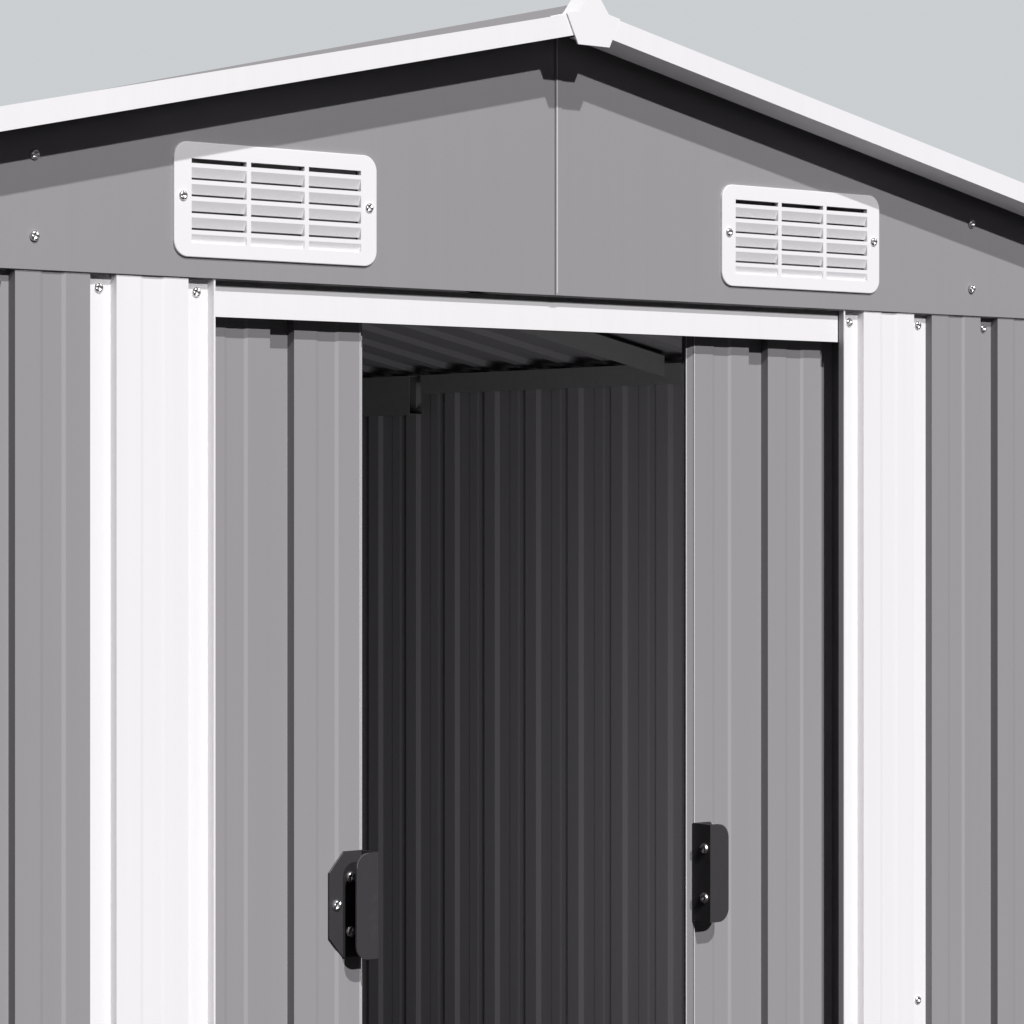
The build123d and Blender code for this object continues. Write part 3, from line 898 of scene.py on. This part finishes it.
class SHED_OT_fix_doors(bpy.types.Operator):
    """Screw the handles and the sliders to the doors, and lay beads with painted highlights on the
    handles' upper edges and the door sheets' folds.
    """

    bl_idname = "shed.fix_doors"
    bl_label = "Fix doors"

    def execute(self, context):
        for name, side in (("left_door", -1), ("right_door", 1)):
            self.fit_handle(name, side)
            self.bolt_sliders(name, side)
            self.paint_handle_highlights(name, side)
            self.paint_fold_highlights(name, side)
        return {"FINISHED"}

    def handle_place(self, name):
        """The handle's box, its distance from the middle and the front of its plate."""
        low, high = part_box(f"{name}_handle")
        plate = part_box(f"{name}_sheet")[0].y - HANDLE_PLATE
        return low, high, max(low.x, -high.x), plate

    def fit_handle(self, name, side):
        low, high, inner, plate = self.handle_place(name)
        middle = (low.z + high.z) / 2
        places = []
        for x, z in HANDLE_PLATE_SCREWS:
            places.append(((side * (inner + x), plate, middle + z), (0, -1, 0)))
        for z in HANDLE_WEB_SCREWS:
            place = (side * inner, plate - HANDLE_WEB_DEPTH, middle + z)
            places.append((place, (-side, 0, 0)))
        head = pan_head(scale=HANDLE_SCREW_SCALE)
        screws(f"{name}_handle_screws", places, name, head=head)

    def bolt_sliders(self, name, side):
        low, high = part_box(f"{name}_sheet")
        near, far = sorted((abs(low.x), abs(high.x)))
        seat = FRONT + SLIDER_BOLT_SEAT
        places = []
        for x in (near + SLIDER_INSET, far - SLIDER_INSET):
            for z in (low.z + SLIDER_BOLT_RISE, high.z - SLIDER_BOLT_RISE):
                for shift in (-SLIDER_BOLT_SHIFT, SLIDER_BOLT_SHIFT):
                    places.append(((side * (x + shift), seat, z), (0, 1, 0)))
        screws(f"{name}_slider_bolts", places, name, head=hex_head())

    def paint_handle_highlights(self, name, side):
        # Zinc beads on the upper edges of the grip and plate only: a painted highlight
        low, high, inner, plate = self.handle_place(name)
        centre, top = inner + GRIP_OFFSET, high.z - GRIP_CORNER
        grip = low.y + EDGE_PROUD
        corner = []
        for step in range(GRIP_STEPS + 1):
            angle = pi / 2 * step / GRIP_STEPS
            x, z = centre + GRIP_EDGE * cos(angle), top + GRIP_EDGE * sin(angle)
            corner.append((side * x, grip, z))
        form = bmesh.new()
        bead(form, corner, HANDLE_BEAD)
        edge = [(side * (inner + x), plate + EDGE_PROUD, high.z + z) for x, z in PLATE_EDGE]
        bead(form, edge, HANDLE_BEAD)
        piece(f"{name}_handle_highlight_beads", as_mesh(form, "edges"), [finishes()["zinc"]], name)

    # Beads on the door sheets' folds in the lighter grey: a painted highlight
    def paint_fold_highlights(self, name, side):
        low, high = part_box(f"{name}_sheet")
        near, far = sorted((abs(low.x), abs(high.x)))
        ends = (low.z + FOLD_END, high.z - FOLD_END)
        form = bmesh.new()
        for x, face_x in ((near, near + DOOR_EDGE_BEVEL), (far, far - DOOR_EDGE_BEVEL)):
            for bend, y in ((x, low.y + DOOR_EDGE_BEVEL), (face_x, low.y)):
                bead(form, [(side * bend, y, z) for z in ends], FOLD_BEAD)
        piece(f"{name}_sheet_fold_highlights", as_mesh(form, "folds"), [finishes()["folds"]], name)


class SHED_OT_set_stage(bpy.types.Operator):
    """Set up the floor, the backdrop, the lights and the camera."""

    bl_idname = "shed.set_stage"
    bl_label = "Set stage"

    def execute(self, context):
        stage = context.scene.shed_stage
        self.lay_floor(stage)
        self.light_world(stage)
        crisp, soft = radians(1.2), radians(8.0)
        self.hang_sun("high_front_light", (0.20, 1.0, -0.93), stage.high_sun, crisp)
        self.hang_sun("low_front_light", (0.086, 1.0, -0.47), stage.low_sun, crisp)
        self.hang_sun("right_rear_light", (-1.0, -0.75, -0.35), stage.rear_fill, soft)
        self.hang_sun("left_rear_light", (1.0, -1.2, -0.35), stage.rear_fill * 0.9, soft)
        self.light_inside(stage)
        self.place_camera()
        return {"FINISHED"}

    def lay_floor(self, stage):
        """A flat floor, pale to the camera and dark to the light that it would throw back."""
        reach, sunk = 400.0, 0.0004
        form = bmesh.new()
        bmesh.ops.create_grid(form, x_segments=1, y_segments=1, size=reach)
        bmesh.ops.translate(form, verts=form.verts, vec=(0, 0, -sunk))
        floor = bpy.data.objects.new("floor", as_mesh(form, "floor"))
        bpy.context.scene.collection.objects.link(floor)
        made = Finish("floor_paint")
        speckle = made.noise(35.0, 4.0, 0.6)
        seen = made.wire.node("ShaderNodeLightPath", output=0)
        pale = made.brightened(stage.floor, 0.98 + 0.04 * speckle)
        bounced = (0.035, 0.034, 0.035, 1.0)
        base = made.mix(seen, bounced, pale)
        paint = made.shade(Base_Color=base, Roughness=0.8, Specular_IOR_Level=0.0)
        floor.data.materials.append(paint)

    def light_world(self, stage):
        """The backdrop for the camera, a plain room for reflections and a faint even sky."""
        world = bpy.data.worlds.new("studio")
        world.use_nodes = True
        world.node_tree.nodes.clear()
        wire = Wire(world.node_tree)

        def glow(colour, strength):
            sockets = {"Color": (*colour, 1.0), "Strength": strength}
            return wire.node("ShaderNodeBackground", None, sockets)

        seen = wire.node("ShaderNodeLightPath", output=0)
        mirrored = wire.node("ShaderNodeLightPath", output=3)
        sky = glow((0.97, 0.98, 1.0), stage.sky)
        room = glow((0.31, 0.31, 0.32), 1.0)
        back = glow(stage.backdrop, 1.0)
        lit = wire.node("ShaderNodeMixShader", None, {0: mirrored, 1: sky, 2: room})
        both = wire.node("ShaderNodeMixShader", None, {0: seen, 1: lit, 2: back})
        wire.node("ShaderNodeOutputWorld", None, {"Surface": both})
        bpy.context.scene.world = world

    def hang_sun(self, name, travel, strength, angle):
        light = bpy.data.lights.new(name, "SUN")
        light.energy = strength
        light.angle = angle
        lamp = bpy.data.objects.new(name, light)
        lamp.rotation_euler = Vector(travel).to_track_quat("-Z", "Y").to_euler()
        bpy.context.scene.collection.objects.link(lamp)

    def light_inside(self, stage):
        """A tall lamp behind the right door, aimed at the right wall and the back."""
        light = bpy.data.lights.new("inside_light", "AREA")
        light.shape = "RECTANGLE"
        light.size = 0.30
        light.size_y = 1.10
        light.energy = stage.inside_fill
        lamp = bpy.data.objects.new("inside_light", light)
        lamp.location = (0.48, FRONT + 0.30, 0.64)
        lamp.rotation_euler = Vector((0.5, 1, -0.12)).to_track_quat("-Z", "Y").to_euler()
        lamp.visible_camera = False
        bpy.context.scene.collection.objects.link(lamp)

    def place_camera(self):
        """The photograph's place, direction and crop."""
        lens = bpy.data.cameras.new("photo_view")
        lens.sensor_width = 36.0
        lens.lens = 117.46
        lens.shift_y = -0.01264
        lens.clip_end = 1000.0
        camera = bpy.data.objects.new("photo_view", lens)
        camera.location = (-2.1405, FRONT - 2.6055, 1.2733)
        camera.rotation_euler = (pi / 2, 0.0, radians(-38.693))
        bpy.context.scene.collection.objects.link(camera)
        bpy.context.scene.camera = camera
        bpy.context.scene.view_settings.view_transform = "Standard"


# Panel
class SHED_PT_dressing(bpy.types.Panel):
    """Sizes, colours and steps of the shed's dressing."""

    bl_idname = "SHED_PT_dressing"
    bl_label = "Shed dressing"
    bl_space_type = "VIEW_3D"
    bl_region_type = "UI"
    bl_category = "Shed"

    def draw(self, context):
        scene = context.scene
        for group in (scene.shed_finishes, scene.shed_fixings, scene.shed_stage):
            box = self.layout.box()
            for name in type(group).__annotations__:
                box.prop(group, name)
        for operator in OPERATORS:
            self.layout.operator(operator.bl_idname)


GROUPS = (ShedFinishes, ShedFixings, ShedStage)
OPERATORS = (
    SHED_OT_coat_parts,
    SHED_OT_fix_walls,
    SHED_OT_fix_gables,
    SHED_OT_fix_roof,
    SHED_OT_fix_frame,
    SHED_OT_fix_doors,
    SHED_OT_set_stage,
)


def register():
    """Register the classes and hang the values on the scene."""
    for item in GROUPS + OPERATORS + (SHED_PT_dressing,):
        bpy.utils.register_class(item)
    bpy.types.Scene.shed_finishes = PointerProperty(type=ShedFinishes)
    bpy.types.Scene.shed_fixings = PointerProperty(type=ShedFixings)
    bpy.types.Scene.shed_stage = PointerProperty(type=ShedStage)


def unregister():
    """Take the values and the classes away again."""
    del bpy.types.Scene.shed_stage
    del bpy.types.Scene.shed_fixings
    del bpy.types.Scene.shed_finishes
    for item in reversed(GROUPS + OPERATORS + (SHED_PT_dressing,)):
        bpy.utils.unregister_class(item)


def main():
    """Dress the shed and set the stage."""
    register()
    bpy.ops.shed.coat_parts()
    bpy.ops.shed.fix_walls()
    bpy.ops.shed.fix_gables()
    bpy.ops.shed.fix_roof()
    bpy.ops.shed.fix_frame()
    bpy.ops.shed.fix_doors()
    bpy.ops.shed.set_stage()


if __name__ == "__main__":
    main()
